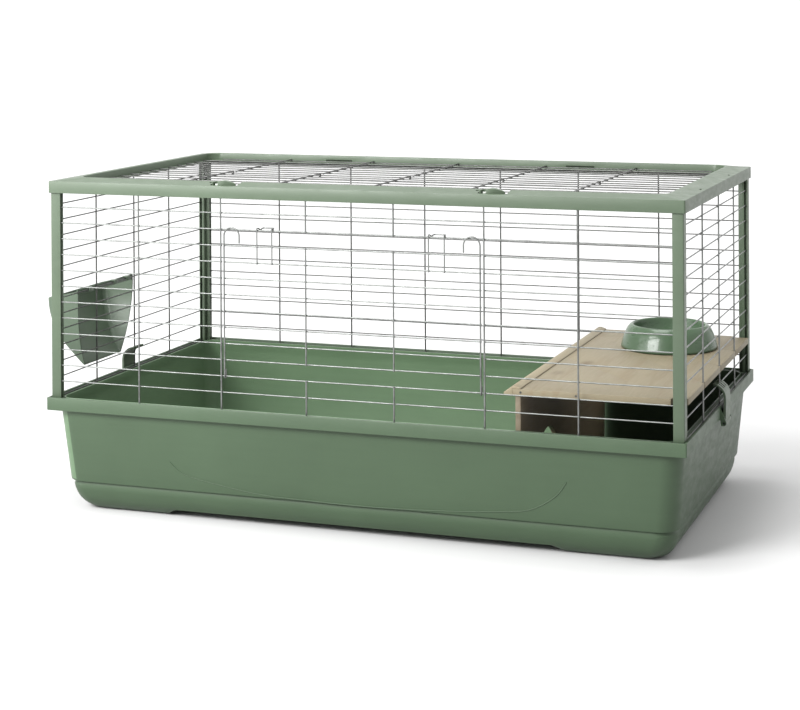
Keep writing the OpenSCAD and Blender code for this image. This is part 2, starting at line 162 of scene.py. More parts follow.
def inner_wall_light_mask(tree):
    """Mask for painted light: 1 on the tray's inner walls left of the shelf.

    The corners are taken as square, so it is also 1 on the outside of the two rounded left corners.
    """
    split = tree.nodes.new("ShaderNodeSeparateXYZ")
    tree.links.new(coords(tree), split.inputs[0])
    x = calc(tree, "ABSOLUTE", calc(tree, "SUBTRACT", split.outputs["X"], CENTRE_X))
    y = calc(tree, "ABSOLUTE", split.outputs["Y"])
    inset = calc(tree, "MINIMUM", calc(tree, "SUBTRACT", HALF_L * MM, x), calc(tree, "SUBTRACT", HALF_W * MM, y))
    rise = calc(tree, "SUBTRACT", split.outputs["Z"], WALL_FOOT_Z * MM)
    lean = calc(tree, "MULTIPLY", rise, WALL_LEAN / WALL_RISE)
    gap = calc(tree, "SUBTRACT", inset, calc(tree, "SUBTRACT", WALL_FOOT_INSET * MM, lean))
    walls = calc(tree, "MULTIPLY", calc(tree, "GREATER_THAN", gap, 1.6 * MM),
                 calc(tree, "GREATER_THAN", split.outputs["Z"], 50 * MM))
    left_part = calc(tree, "LESS_THAN", split.outputs["X"], CENTRE_X + SHELF_START_X * MM)
    return calc(tree, "MULTIPLY", walls, left_part)


def plastic(name, colour, rough=(0.36, 0.5), grain=0.25, coat=0.0, inner_wall_light=1.0):
    """Moulded plastic: faint cloudiness, fine grain and tiny specks; the last factor paints light onto the tray's
    inner walls left of the shelf.
    """
    mat, tree, shader = nodes_of(name)
    place = coords(tree)
    cloud = noise(tree, place, 7, 4, 0.55, 0.4)
    base = ramp(tree, cloud, [(0.3, tint(colour, 0.93)), (0.7, tint(colour, 1.06))])
    streak = noise(tree, coords(tree, (0.35, 1, 5)), 22, 3)
    base = mix(tree, 0.10, base, ramp(tree, streak, [(0.35, tint(colour, 0.8)), (0.65, tint(colour, 1.2))]))
    speck = noise(tree, place, 900, 2)
    base = mix(tree, 0.12, base, ramp(tree, speck, [(0.45, tint(colour, 0.85)), (0.62, tint(colour, 1.15))]))
    # Painted light: the inner walls left of the shelf are brightened by this factor, standing in for light falling
    # into the tray.
    if inner_wall_light != 1:
        base = mix(tree, inner_wall_light_mask(tree), base, mix(tree, 1.0, base, (inner_wall_light, inner_wall_light, inner_wall_light), "MULTIPLY"))
    tree.links.new(base, shader.inputs["Base Color"])
    scuff = noise(tree, coords(tree, (1, 1, 2.5)), 34, 5, 0.62)
    tree.links.new(ramp(tree, scuff, [(0.3, rough[0]), (0.7, rough[1])]), shader.inputs["Roughness"])
    bump(tree, shader, noise(tree, place, 1400, 2), grain, 0.00012)
    shader.inputs["Coat Weight"].default_value = coat
    shader.inputs["Coat Roughness"].default_value = 0.08
    shader.inputs["Specular IOR Level"].default_value = 0.27
    return mat


def zinc(name, colour, dark=0.72):
    """Zinc-plated drawn wire: bright metal with dull patches and a fine grain bump."""
    mat, tree, shader = nodes_of(name)
    place = coords(tree)
    patch = noise(tree, place, 55, 5, 0.6)
    base = ramp(tree, patch, [(0.32, tint(colour, dark)), (0.5, colour), (0.72, tint(colour, 1.18))])
    tree.links.new(base, shader.inputs["Base Color"])
    tree.links.new(ramp(tree, noise(tree, place, 130, 4), [(0.3, 0.28), (0.7, 0.5)]), shader.inputs["Roughness"])
    bump(tree, shader, noise(tree, place, 2600, 2), 0.25, 0.00008)
    shader.inputs["Metallic"].default_value = 0.75
    return mat


def wood(name, light, dark, shift=0.0, back=1.0):
    """Planed pine along Y: growth rings, fine fibres and a few soft knots; the last factor paints light onto the
    rear.
    """
    mat, tree, shader = nodes_of(name)
    place = coords(tree, (1, 0.09, 1))
    warp = noise(tree, place, 9 + shift, 3, 0.5, 1.6)
    rings = tree.nodes.new("ShaderNodeTexNoise")
    rings.inputs["Scale"].default_value = 46 + shift
    rings.inputs["Detail"].default_value = 4
    rings.inputs["Distortion"].default_value = 1.1
    tree.links.new(place, rings.inputs["Vector"])
    tone = ramp(tree, rings.outputs["Fac"], [(0.38, light), (0.54, tint(light, 0.93)), (0.64, dark)])
    base = mix(tree, 0.55, tone, ramp(tree, warp, [(0.3, tint(light, 1.05)), (0.7, tint(light, 0.84))]))
    fibre = noise(tree, coords(tree, (1, 0.03, 1)), 900, 2)
    base = mix(tree, 0.22, base, ramp(tree, fibre, [(0.4, tint(dark, 1.1)), (0.6, tint(light, 1.05))]))
    knot = tree.nodes.new("ShaderNodeTexVoronoi")
    knot.inputs["Scale"].default_value = 6.5
    tree.links.new(coords(tree, (1, 0.55, 1)), knot.inputs["Vector"])
    spots = ramp(tree, knot.outputs["Distance"], [(0.03, 1.0), (0.10, 0.0)])
    base = mix(tree, spots, base, tint(dark, 0.72))
    # Painted light: the colour is brightened towards the rear, from y = -0.05 m to 0.2 m, where light falls on the
    # piece.
    if back != 1:
        split = tree.nodes.new("ShaderNodeSeparateXYZ")
        tree.links.new(coords(tree), split.inputs[0])
        far = map_range(tree, split.outputs["Y"], -0.05, 0.2, 0, 1)
        base = mix(tree, far, base, mix(tree, 1.0, base, (back, back, back), "MULTIPLY"))
    tree.links.new(base, shader.inputs["Base Color"])
    tree.links.new(ramp(tree, fibre, [(0.3, 0.5), (0.7, 0.68)]), shader.inputs["Roughness"])
    bump(tree, shader, fibre, 0.35, 0.0002)
    return mat


# The tray's inner walls left of the shelf carry painted light, 2.1 times brighter than the rest.
TRAY = plastic("tray_green_plastic_painted_inner_light", (0.041, 0.066, 0.037), inner_wall_light=2.1)
FRAME = plastic("frame_green_plastic", (0.058, 0.081, 0.052), rough=(0.32, 0.46))
RACK = plastic("rack_green_plastic", (0.055, 0.078, 0.052), rough=(0.3, 0.42))
BOWL = plastic("bowl_green_plastic", (0.046, 0.080, 0.043), rough=(0.24, 0.34), grain=0.05, coat=0.25)
# Latch pin heads: their pale colour stands in for the white highlight on each pin head, a painted highlight.
PALE_PIN_HIGHLIGHT = plastic("pin_pale_painted_highlight", (0.50, 0.53, 0.49), rough=(0.25, 0.35))
WIRE = zinc("zinc_wire", (0.15, 0.155, 0.15))
# Lit copy of the zinc for the front rows and door bars: a painted highlight, now only a faint green lift over
# zinc_wire.
WIRE_LIT = zinc("zinc_wire_lit_copy", (0.15, 0.157, 0.15))
# Darker copy of the zinc: painted shade on the back panel, the left end and the roof; it is also the dark metal of
# nails, screws and clip pins.
WIRE_DARK_AND_SHADED = zinc("zinc_wire_dark_and_shaded", (0.072, 0.073, 0.070), dark=0.6)
BOARD_WOOD = wood("pine_board", (0.158, 0.135, 0.084), (0.115, 0.081, 0.039))
STRIP_WOOD = wood("pine_strip", (0.195, 0.168, 0.108), (0.145, 0.105, 0.055), shift=4.0)
# The side panel carries painted light: its rear is 3.2 times brighter than its front.
PANEL_WOOD = wood("pine_panel_painted_rear_light", (0.14, 0.115, 0.075), (0.10, 0.07, 0.04), shift=9.0, back=3.2)


# ---------------------------------------------------------------- mesh helpers
class Shape:
    """Gathers faces, with vertices in millimetres from the cage's centre line, into one object."""

    def __init__(self):
        self.verts = []
        self.faces = []

    def add(self, verts, faces):
        base = len(self.verts)
        self.verts += [tuple(v) for v in verts]
        self.faces += [[base + i for i in face] for face in faces]

    def build(self, name, material, body, slot, nodes=(), sharp=38):
        mesh = bpy.data.meshes.new(name)
        moved = [(x * MM + CENTRE_X, y * MM, z * MM) for x, y, z in self.verts]
        mesh.from_pydata(moved, [], self.faces)
        return finish_piece(mesh, name, material, body, nodes, sharp)


def finish_piece(mesh, name, material, body, nodes, sharp):
    work = bmesh.new()
    work.from_mesh(mesh)
    bmesh.ops.recalc_face_normals(work, faces=work.faces)
    work.to_mesh(mesh)
    work.free()
    for face in mesh.polygons:
        face.use_smooth = True
    mesh.set_sharp_from_angle(angle=math.radians(sharp))
    mesh.materials.clear()
    mesh.materials.append(material)
    obj = bpy.data.objects.new(name, mesh)
    bpy.context.scene.collection.objects.link(obj)
    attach(obj, body)
    if nodes:
        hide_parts(*nodes)
    return obj


def tube(shape, path, radius, sides=12):
    """Round wire along a path, with chamfered ends."""
    points = [Vector(p) for p in path]
    first = (points[1] - points[0]).normalized()
    last = (points[-1] - points[-2]).normalized()
    cut = radius * 0.35
    stations = [(points[0], radius * 0.68), (points[0] + first * cut, radius)]
    stations += [(p, radius) for p in points[1:-1]]
    stations += [(points[-1] - last * cut, radius), (points[-1], radius * 0.68)]
    normal = first.orthogonal().normalized()
    verts = []
    for i, (centre, r) in enumerate(stations):
        before = stations[max(i - 1, 0)][0]
        after = stations[min(i + 1, len(stations) - 1)][0]
        along = (after - before).normalized()
        normal = (normal - along * normal.dot(along)).normalized()
        side = along.cross(normal)
        for k in range(sides):
            a = 2 * math.pi * k / sides
            verts.append(centre + (normal * math.cos(a) + side * math.sin(a)) * r)
    faces = [list(range(sides))[::-1], [len(verts) - sides + k for k in range(sides)]]
    for i in range(len(stations) - 1):
        for k in range(sides):
            n = (k + 1) % sides
            faces.append([i * sides + k, i * sides + n, (i + 1) * sides + n, (i + 1) * sides + k])
    shape.add(verts, faces)


def bead(shape, x, y, z, radii):
    """Small squashed weld bead where two wires cross."""
    around = 8
    rows = [(-0.62, 0.78), (0, 1.0), (0.62, 0.78)]
    verts = [(x, y, z - radii[2])]
    for h, w in rows:
        for k in range(around):
            a = 2 * math.pi * k / around
            verts.append((x + radii[0] * w * math.cos(a), y + radii[1] * w * math.sin(a), z + radii[2] * h))
    verts.append((x, y, z + radii[2]))
    faces = [[0, 1 + (k + 1) % around, 1 + k] for k in range(around)]
    for i in range(len(rows) - 1):
        for k in range(around):
            n = (k + 1) % around
            a, b = 1 + i * around, 1 + (i + 1) * around
            faces.append([a + k, a + n, b + n, b + k])
    top = 1 + (len(rows) - 1) * around
    faces += [[len(verts) - 1, top + k, top + (k + 1) % around] for k in range(around)]
    shape.add(verts, faces)


def arc(centre, radius, start, end, plane, steps=16):
    """Points on an arc; plane is two unit vectors, angles in degrees from the first to the second."""
    u, v = Vector(plane[0]), Vector(plane[1])
    out = []
    for i in range(steps + 1):
        a = math.radians(start + (end - start) * i / steps)
        out.append(Vector(centre) + u * radius * math.cos(a) + v * radius * math.sin(a))
    return out


def rounded(points, radius, steps=5):
    """A path whose inner corners are replaced by short curves."""
    pts = [Vector(p) for p in points]
    out = [pts[0]]
    for i in range(1, len(pts) - 1):
        back = pts[i - 1] - pts[i]
        ahead = pts[i + 1] - pts[i]
        reach = min(radius, back.length * 0.45, ahead.length * 0.45)
        a = pts[i] + back.normalized() * reach
        b = pts[i] + ahead.normalized() * reach
        for s in range(steps + 1):
            t = s / steps
            out.append(a * (1 - t) ** 2 + pts[i] * 2 * t * (1 - t) + b * t ** 2)
    return out + [pts[-1]]


def ring(half_x, half_y, radius, z, xs=(), ys=(), corner=9):
    """Anticlockwise rounded rectangle with extra points at xs and ys along its sides."""
    out = []

    def corner_arc(cx, cy, start):
        for i in range(corner + 1):
            a = math.radians(start + 90 * i / corner)
            out.append((cx + radius * math.cos(a), cy + radius * math.sin(a), z))

    corner_arc(half_x - radius, half_y - radius, 0)
    out.extend((x, half_y, z) for x in reversed(xs))
    corner_arc(radius - half_x, half_y - radius, 90)
    out.extend((-half_x, y, z) for y in reversed(ys))
    corner_arc(radius - half_x, radius - half_y, 180)
    out.extend((x, -half_y, z) for x in xs)
    corner_arc(half_x - radius, radius - half_y, 270)
    out.extend((half_x, y, z) for y in ys)
    return out


def skin(shape, rings, loop=False):
    """Quads between rings of the same length."""
    n = len(rings[0])
    verts = [v for r in rings for v in r]
    faces = []
    spans = len(rings) if loop else len(rings) - 1
    for i in range(spans):
        a, b = i * n, ((i + 1) % len(rings)) * n
        for k in range(n):
            m = (k + 1) % n
            faces.append([a + k, a + m, b + m, b + k])
    shape.add(verts, faces)


def upright(u, v, level):
    return u, v, level


def extrude(shape, outline, make, low, high):
    """A flat outline between two levels; make turns (u, v, level) into a point."""
    n = len(outline)
    verts = [make(u, v, low) for u, v in outline] + [make(u, v, high) for u, v in outline]
    faces = [list(range(n)), list(range(2 * n - 1, n - 1, -1))]
    faces += [[k, (k + 1) % n, n + (k + 1) % n, n + k] for k in range(n)]
    shape.add(verts, faces)


def from_cad(node, material, body, soften):
    """A piece with the CAD node's shape, its edges rounded off."""
    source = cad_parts[node]
    work = bmesh.new()
    work.from_mesh(source.data)
    bmesh.ops.transform(work, matrix=source.matrix_world, verts=work.verts)
    bmesh.ops.remove_doubles(work, verts=work.verts, dist=2e-6)
    bmesh.ops.dissolve_limit(work, angle_limit=math.radians(1.0), verts=work.verts, edges=work.edges)
    edges = [e for e in work.edges if len(e.link_faces) == 2 and e.calc_face_angle(0) > math.radians(40)]
    bmesh.ops.bevel(work, geom=edges, offset=soften * MM, segments=3, profile=0.5,
                    affect="EDGES", clamp_overlap=True)
    mesh = bpy.data.meshes.new(node + "_shape")
    work.to_mesh(mesh)
    work.free()
    return finish_piece(mesh, node + "_piece", material, body, [node], 38)


def smooth(a, b, x):
    """0 at a, 1 at b, eased at both ends."""
    t = min(max((x - a) / (b - a), 0), 1)
    return t * t * (3 - 2 * t)


# ---------------------------------------------------------------- tray
def channel(x):
    """Height of the raised underside between the end feet."""
    return 10.5 * (1 - smooth(300, 328, abs(x)))


def wall_inset(z):
    """How far the leaning outer wall of the tray stands inside the rim at height z."""
    return WALL_FOOT_INSET - WALL_LEAN * (z - WALL_FOOT_Z) / WALL_RISE


def wall_line(shape, side):
    """Fine moulded line across one long side of the tray, through knots measured on the photograph."""
    knots = [(-303, -90.5), (-277, -108.7), (-209, -121.8), (-142, -130.1), (-68, -132.5), (4, -133.4),
             (76, -132.5), (154, -129), (231, -122.9), (276.5, -116.1), (314, -94.2), (332, -71.1)]
    path = []
    for i in range(len(knots) - 1):
        a, b, c, d = (Vector(knots[min(max(k, 0), len(knots) - 1)]) for k in range(i - 1, i + 3))
        for step in range(6):
            t = step / 6
            path.append(0.5 * (2 * b + (c - a) * t + (2 * a - 5 * b + 4 * c - d) * t ** 2
                               + (3 * b - a - 3 * c + d) * t ** 3))
    path.append(Vector(knots[-1]))
    tube(shape, [(p.x, side * (HALF_W - wall_inset(RIM + p.y) + 0.1), RIM + p.y) for p in path], 0.85, 8)


def belly(inset, level, wide, tall, steps=11):
    """Quarter-ellipse profile from the flat underside up to the wall's foot."""
    out = []
    for i in range(steps + 1):
        a = math.radians(90 * (1 - i / steps))
        out.append((inset - wide * math.cos(a), level + tall * (1 - math.sin(a)), 30))
    return out


def tray():
    xs = sorted({*range(-300, 301, 20), *range(-332, -300, 4), *range(304, 336, 4), -400, -366, 366, 400})
    ys = [-190, -120, -50, 20, 55, 65, 75, 85, 95, 130, 190]
    wall = [(wall_inset(z), z, 30) for z in (WALL_FOOT_Z, 70, 92, 115, 138, RIM - 20)]
    outer = belly(56, 0, 32.5, 46.5)
    outer = outer[:-1] + [(25.2, 43.8, 30), (25.6, 45.8, 30), (22.6, 46.9, 30), (20.7, 47.3, 30)] + wall
    outer += [(9.2, RIM - 9.4, 28), (8.8, RIM - 9, 27), (3, RIM - 9, 1.2), (2.5, RIM - 9.6, 1),
              (2.5, RIM - 19.6, 1), (2.1, RIM - 20, 1.2), (0.4, RIM - 20, 2.3), (0, RIM - 19.6, 2.5),
              (0, RIM - 1, 2.5), (0.3, RIM - 0.3, 2.4), (1, RIM, 2), (3, RIM, 1.2), (3.7, RIM - 0.3, 1)]
    inner = [(4, RIM - 1, 1), (4, RIM - 5.7, 1), (4.4, RIM - 6, 1), (14.6, RIM - 6, 20), (15, RIM - 5.7, 20),
             (15, RIM - 2.5, 20), (15.4, RIM - 2, 20), (16.5, RIM - 2, 20), (17, RIM - 2.5, 20),
             (17, RIM - 9, 20), (15.4, RIM - 16, 24), (14.4, RIM - 26, 26), (23.3, 50, 27), (23.6, 48.5, 27),
             (26.2, 46.4, 28)]
    bottom = belly(57, 3, 29.5, 43)
    inner += bottom[::-1]
    rings = []
    for i, (inset, z, r) in enumerate(outer + inner):
        is_outer = i < len(outer)
        loop = ring(HALF_L - inset, HALF_W - inset, r, z, xs, ys)
        out = []
        for x, y, h in loop:
            lift = channel(x) if is_outer else channel(x) + 3
            if is_outer and abs(x) > 330:
                lift = max(lift, 3 * smooth(58, 92, y))
            out.append((x, y, max(h, lift)))
        rings.append(out)
    shape = Shape()
    skin(shape, rings)
    n = len(rings[0])
    for loop, flip in ((rings[0], False), (rings[-1], True)):
        close_flat(shape, loop, len(xs), len(ys), flip)
    for side in (-1, 1):
        wall_line(shape, side)
        for y in (-CLIP_Y - 5, CLIP_Y + 1):
            ear(shape, side, y)
    return shape.build("tray_body", TRAY, "cage", "tray_plastic", ["base_tray"], sharp=32)


def close_flat(shape, loop, nx, ny, flip, corner=9):
    """Closes a tray ring with strips from front to back and small end pieces."""
    c = corner + 1
    back = loop[:c] + loop[c:c + nx] + loop[c + nx:2 * c + nx]
    left = 2 * c + nx + ny
    front = loop[left:left + c] + loop[left + c:left + c + nx] + loop[left + c + nx:left + 2 * c + nx]
    back = back[::-1]
    rows = 12
    verts, faces = [], []
    for a, b in zip(front, back):
        for j in range(rows + 1):
            t = j / rows
            y = a[1] + (b[1] - a[1]) * t
            verts.append((a[0], y, a[2] + (b[2] - a[2]) * t))
    for i in range(len(front) - 1):
        for j in range(rows):
            k = i * (rows + 1) + j
            quad = [k, k + 1, k + rows + 2, k + rows + 1]
            faces.append(quad if flip else quad[::-1])
    shape.add(verts, faces)


def ear(shape, side, y):
    """Lug on the rim skirt that carries an end clip's pin."""
    outline = [(509, RIM - 6), (511, RIM - 6), (518, RIM - 22)]
    outline += [(CLIP_PIN_X + 4 * math.cos(math.radians(a)), CLIP_PIN_Z + 4 * math.sin(math.radians(a)))
                for a in range(20, -100, -20)]
    outline += [(511, RIM - 30), (509, RIM - 19)]
    extrude(shape, outline, lambda u, v, w: (side * u, w, v), y, y + 4)


# ---------------------------------------------------------------- top frame
def top_frame():
    profile = [(0, 322.6, 2.5), (0, 340.2, 2.5), (0.3, 340.8, 2.4), (0.9, 341, 2.2), (5.6, 341, 3), (6.3, 341.15, 4),
               (12, 342.1, 9), (20, 343.6, 17), (28.5, 345.1, 21.5), (30.5, 345.5, 22.5), (32.6, 345.5, 23.6),
               (33.6, 345.1, 24.4), (34, 344.2, 25), (34, 333.4, 25), (34.4, 333, 25.3), (37.6, 333, 26),
               (38, 332.6, 26), (38, 330.8, 26), (37.6, 330.4, 26), (31.9, 330.4, 23), (31.5, 330.8, 23),
               (31.5, 342.3, 22), (7, 338.5, 4), (2.8, 338.4, 1.2), (2.5, 338.1, 1), (2.5, 322.6, 1),
               (2.2, 322.3, 1.2), (0.3, 322.3, 2.4)]
    xs, ys = list(range(-440, 441, 40)), list(range(-200, 201, 40))
    shape = Shape()
    skin(shape, [ring(FRAME_L - i, FRAME_W - i, r, RIM + z, xs, ys) for i, z, r in profile], loop=True)
    obj = shape.build("roof_frame", FRAME, "cage", "frame_plastic", ["top_frame"], sharp=32)
    cutter = Shape()

    def block(x0, x1, y0, y1, z0, z1):
        extrude(cutter, [(x0, y0), (x1, y0), (x1, y1), (x0, y1)], upright, z0, z1)

    for x in LATCH_XS:
        block(x - 8.8, x + 36, 8 - FRAME_W, 46 - FRAME_W, FRAME_TOP - 4.5, FRAME_TOP + 9.5)
        hole = [(x - 13 + 2.9 * math.cos(math.radians(a)), 23.5 - FRAME_W + 2.9 * math.sin(math.radians(a)))
                for a in range(0, 360, 15)]
        extrude(cutter, hole, upright, FRAME_TOP - 4.5, FRAME_TOP + 9.5)
    for sx in (-1, 1):
        for y in (-125, 113):
            block(sx * 500.5 - 1.5, sx * 500.5 + 1.5, y - 5, y + 5, FRAME_TOP - 5, FRAME_TOP + 6)
    for x in (-222, 222):
        block(x - 25, x + 25, FRAME_W - 35, FRAME_W - 29, ROOF + 1.5, ROOF + 4)
    tool = cutter.build("frame_cutter", FRAME, "cage", "frame_plastic")
    cut = obj.modifiers.new("pockets", "BOOLEAN")
    cut.object = tool
    cut.operation = "DIFFERENCE"
    cut.solver = "EXACT"
    depsgraph = bpy.context.evaluated_depsgraph_get()
    mesh = bpy.data.meshes.new_from_object(obj.evaluated_get(depsgraph))
    obj.modifiers.clear()
    obj.data = mesh
    mesh.set_sharp_from_angle(angle=math.radians(32))
    bpy.data.objects.remove(tool, do_unlink=True)
    pads = Shape()
    for x in LATCH_XS:
        outline = rounded_box(x - 10, x + 37.5, 9.5 - FRAME_W, 33 - FRAME_W, 1.5)
        extrude(pads, outline, upright, FRAME_TOP - 7.1, FRAME_TOP - 4.5)
    pads.build("latch_pads", FRAME, "cage", "frame_plastic")


def rounded_box(x0, x1, y0, y1, r, steps=4):
    out = []
    for cx, cy, start in ((x1 - r, y1 - r, 0), (x0 + r, y1 - r, 90), (x0 + r, y0 + r, 180), (x1 - r, y0 + r, 270)):
        for i in range(steps + 1):
            a = math.radians(start + 90 * i / steps)
            out.append((cx + r * math.cos(a), cy + r * math.sin(a)))
    return out


# ---------------------------------------------------------------- wire panels
def row_z(k):
    return LAST_WIRE if k == LAST_ROW else TOP_WIRE - PITCH * k


def end_z(k):
    return LAST_WIRE + 0.5 if k == LAST_ROW else END_WIRE - PITCH * k


def wire_panels():
    cross = (1.5, 1.1, 1.5)
    # The back panel takes the darker copy of the zinc as painted shade.
    long_sides = (("front_panel", -1, WIRE_LIT, WIRE), ("back_panel", 1, WIRE_DARK_AND_SHADED, WIRE_DARK_AND_SHADED))
    # The front panel's rows take the lit copy of the zinc as a painted highlight.
    for name, side, row_metal, metal in long_sides:
        rows, stays = Shape(), Shape()
        y = side * FRONT_Y
        uprights = [i * BAY_L for i in (-2.5, -1.5, -0.5, 0.5, 1.5, 2.5)]
        for k in range(-1, LAST_ROW + 1):
            if side < 0 and 1 < k < 10:
                tube(rows, [(-ROW_HALF_L, y, row_z(k)), (-1.5 * BAY_L + 1.3, y, row_z(k))], THIN)
                tube(rows, [(1.5 * BAY_L - 1.3, y, row_z(k)), (ROW_HALF_L, y, row_z(k))], THIN)
            else:
                tube(rows, [(-ROW_HALF_L, y, row_z(k)), (ROW_HALF_L, y, row_z(k))], THIN)
            for x in uprights:
                if not (side < 0 and 1 < k < 10 and abs(x) < 80):
                    bead(rows, x, side * (FRONT_Y + 1.1), row_z(k), cross)
        for x in uprights:
            spans = [(LAST_WIRE - 1, FRAME_TOP - 4)]
            if side < 0 and abs(x) < 80:
                spans = [(row_z(1) - 1.5, FRAME_TOP - 4), (LAST_WIRE - 1, HINGE_Z + 1.5)]
            for low, high in spans:
                tube(stays, [(x, side * UP_Y, low), (x, side * UP_Y, high)], THICK)
        rows.build(name + "_rows", row_metal, "cage", "wire", [name])
        stays.build(name + "_stays", metal, "cage", "wire")
    for name, side in (("left_panel", -1), ("right_panel", 1)):
        shape = Shape()
        for k in range(-1, LAST_ROW + 1):
            tube(shape, [(side * END_X, -ROW_HALF_W, end_z(k)), (side * END_X, ROW_HALF_W, end_z(k))], THIN)
            for i in (-1, 0, 1):
                bead(shape, side * (END_X + 1.1), i * BAY_W, end_z(k), (1.1, 1.5, 1.5))
        for i in (-1, 0, 1):
            at = (side * UP_X, i * BAY_W)
            tube(shape, [(*at, LAST_WIRE - 1), (*at, FRAME_TOP - 4)], THICK)
        # The left end takes the darker copy of the zinc as painted shade.
        shape.build(name + "_wires", WIRE if side > 0 else WIRE_DARK_AND_SHADED, "cage", "wire", [name])


def roof():
    step = ROOF_HALF_W / ROOF_ROWS
    fixed, door = Shape(), Shape()
    cross_z = ROOF + EYE_R
    for j in range(ROOF_ROWS + 1):
        half = ROOF_LAST_HALF_L if j == ROOF_ROWS else ROOF_HALF_L
        tube(fixed, [(-half, j * step, ROOF), (half, j * step, ROOF)], THIN)
        if j:
            z = cross_z - THIN - DOOR_R - WELD_GAP
            tube(door, [(-half, -j * step, z), (half, -j * step, z)], THIN)
    for i in range(-2, 3):
        x = i * ROOF_BAY
        tube(fixed, [(x + 3.2, 2 * EYE_R, ROOF + 2.31), (x + 3.2, ROOF_HALF_W + 0.6, ROOF + 2.31)], THICK)
        eye = arc((x, 0, ROOF), EYE_R, 90, -170, ((0, 1, 0), (0, 0, 1)), 26)
        tube(door, [(x, -ROOF_HALF_W - 0.6, cross_z), (x, -2, cross_z)] + eye, DOOR_R)
        for j in range(1, ROOF_ROWS + 1):
            bead(fixed, x + 3.2, j * step, ROOF + 1.1, (1.5, 1.5, 1.1))
            bead(door, x, -j * step, cross_z - 1.2, (1.4, 1.4, 1.1))
    # The roof grid and roof door take the darker copy of the zinc as painted shade.
    fixed.build("roof_grid_wires", WIRE_DARK_AND_SHADED, "cage", "wire", ["roof_grid"])
    door.build("roof_door_wires", WIRE_DARK_AND_SHADED, "roof_door", "wire", ["roof_door"])


def front_door():
    shape, bars = Shape(), Shape()
    bar_y = DOOR_Y - DOOR_R - THIN - WELD_GAP
    for k in range(2, 10):
        tube(bars, [(-DOOR_X - 1.2, -bar_y, row_z(k)), (DOOR_X + 1.2, -bar_y, row_z(k))], THIN)
        for x in (-DOOR_X, -BAY_L / 2, BAY_L / 2, DOOR_X):
            bead(bars, x, -bar_y - 1.1, row_z(k), (1.4, 1.1, 1.4))
    for x in (-BAY_L / 2, BAY_L / 2):
        tube(shape, [(x, -DOOR_Y, row_z(9) - 1.5), (x, -DOOR_Y, row_z(2) + 1.5)], DOOR_R)
    cane = 12.7
    top = row_z(1) + 3 - cane
    for side in (-1, 1):
        x = side * DOOR_X
        path = [(x, -FRONT_Y + EYE_R, HINGE_Z + 10), (x, -FRONT_Y + EYE_R, HINGE_Z + 2)]
        path += arc((x, -FRONT_Y, HINGE_Z), EYE_R, 0, -180, ((0, 1, 0), (0, 0, 1)), 16)
        path += [(x, -DOOR_Y, HINGE_Z + 4), (x, -DOOR_Y, top)]
        path += arc((x - side * cane, -DOOR_Y, top), cane, 0, 180, ((side, 0, 0), (0, 0, 1)), 24)[1:]
        path += [(x - side * 2 * cane, -DOOR_Y, top - 11)]
        tube(shape, path, DOOR_R, 14)
    for x in (-CATCH_X, CATCH_X):
        for s in (-1, 1):
            at = (x + s * CATCH_HALF, -bar_y - 2 * THIN - WELD_GAP)
            tube(shape, [(*at, row_z(3) - 1.8), (*at, row_z(2) + THIN - 0.4)], THIN)
            bead(shape, at[0], -bar_y - 1.0, row_z(3), (1.3, 1.0, 1.3))
            bead(shape, at[0], -bar_y - 1.0, row_z(2), (1.3, 1.0, 1.0))
    shape.build("front_door_wires", WIRE, "front_door", "wire", ["front_door"])
    # The door's bars take the lit copy of the zinc as a painted highlight.
    bars.build("front_door_bars", WIRE_LIT, "front_door", "wire")
    for name, x in (("door_catch_left", -CATCH_X), ("door_catch_right", CATCH_X)):
        catch(name, x)


def catch(name, x):
    """Spring catch: one wire that runs up, in over the opening's top wire, across and back."""
    root = row_z(2) + THIN + 1
    over = row_z(1) + 2 * THIN + 0.6
    bar = CATCH_HALF - 4

    def leg(s):
        return [(s * CATCH_HALF, 0, root), (s * CATCH_HALF, 0, over + 0.2), (s * (CATCH_HALF - 0.4), 2, over + 0.8),
                (s * (CATCH_HALF - 0.8), 5, over + 0.3), (s * (CATCH_HALF - 1.6), 10, over - 2.6),
                (s * (bar + 1), 14, over - 0.5), (s * bar, 18, over - 0.2)]

    path = [Vector(p) + Vector((x, -DOOR_Y - 0.15, 0)) for p in leg(-1) + leg(1)[::-1]]
    shape = Shape()
    tube(shape, rounded(path, 2.2), THIN, 12)
    shape.build(name + "_wire", WIRE, name, "wire", [name])


